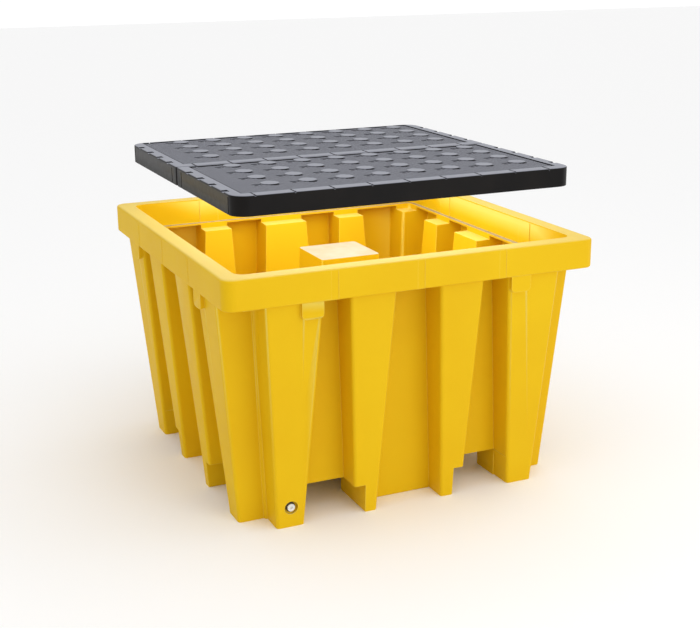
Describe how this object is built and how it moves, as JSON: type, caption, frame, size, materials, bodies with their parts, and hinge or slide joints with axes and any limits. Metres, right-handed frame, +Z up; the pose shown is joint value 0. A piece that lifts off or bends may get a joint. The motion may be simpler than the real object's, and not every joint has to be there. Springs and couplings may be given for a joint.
{
  "type": "spill containment pallet",
  "caption": "Square moulded spill sump with ribbed walls and fork ways through its foot, a lift-off drained deck held above its rim, and a screwed drain plug.",
  "frame": {"origin": "on the floor under the middle of the sump", "axes": "+Z up, -Y out of the front side, which has the drain, +X to the right seen from the front"},
  "size_m": [1.41, 1.41, 1.19],
  "materials": {
    "sump_plastic": "satin moulded polyethylene",
    "deck_plastic": "dull moulded polyethylene",
    "fitting_plastic": "satin",
    "seal_rubber": "dull",
    "plug_plastic": "satin"
  },
  "bodies": {
    "sump": {"sump_tub": "sump_plastic", "drain_fitting": "fitting_plastic", "fitting_gasket": "seal_rubber", "fitting_nut": "fitting_plastic"},
    "deck_front": {"deck_front": "deck_plastic"},
    "deck_rear": {"deck_rear": "deck_plastic"},
    "plug_washer": {"plug_washer": "seal_rubber"},
    "drain_plug": {"drain_plug": "plug_plastic"}
  },
  "joints": [
    {"name": "deck_front_lift", "type": "slide", "parent": "sump", "child": "deck_front", "axis": [0, 0, 1], "range_m": [-0.2847, 0.1]},
    {"name": "deck_rear_lift", "type": "slide", "parent": "sump", "child": "deck_rear", "axis": [0, 0, 1], "range_m": [-0.2847, 0.1]},
    {"name": "drain_plug_travel", "type": "slide", "parent": "sump", "child": "plug_washer", "axis": [0, -1, 0], "range_m": [0, 0.0127]},
    {"name": "drain_plug_turn", "type": "hinge", "parent": "plug_washer", "child": "drain_plug", "pos_m": [-0.46259, -0.62033, 0.075], "axis": [0, -1, 0], "range_deg": [0, 2520]}
  ],
  "couplings": [
    {"joint": "drain_plug_travel", "follows": "drain_plug_turn", "m_per_rad": 0.00028871}
  ]
}
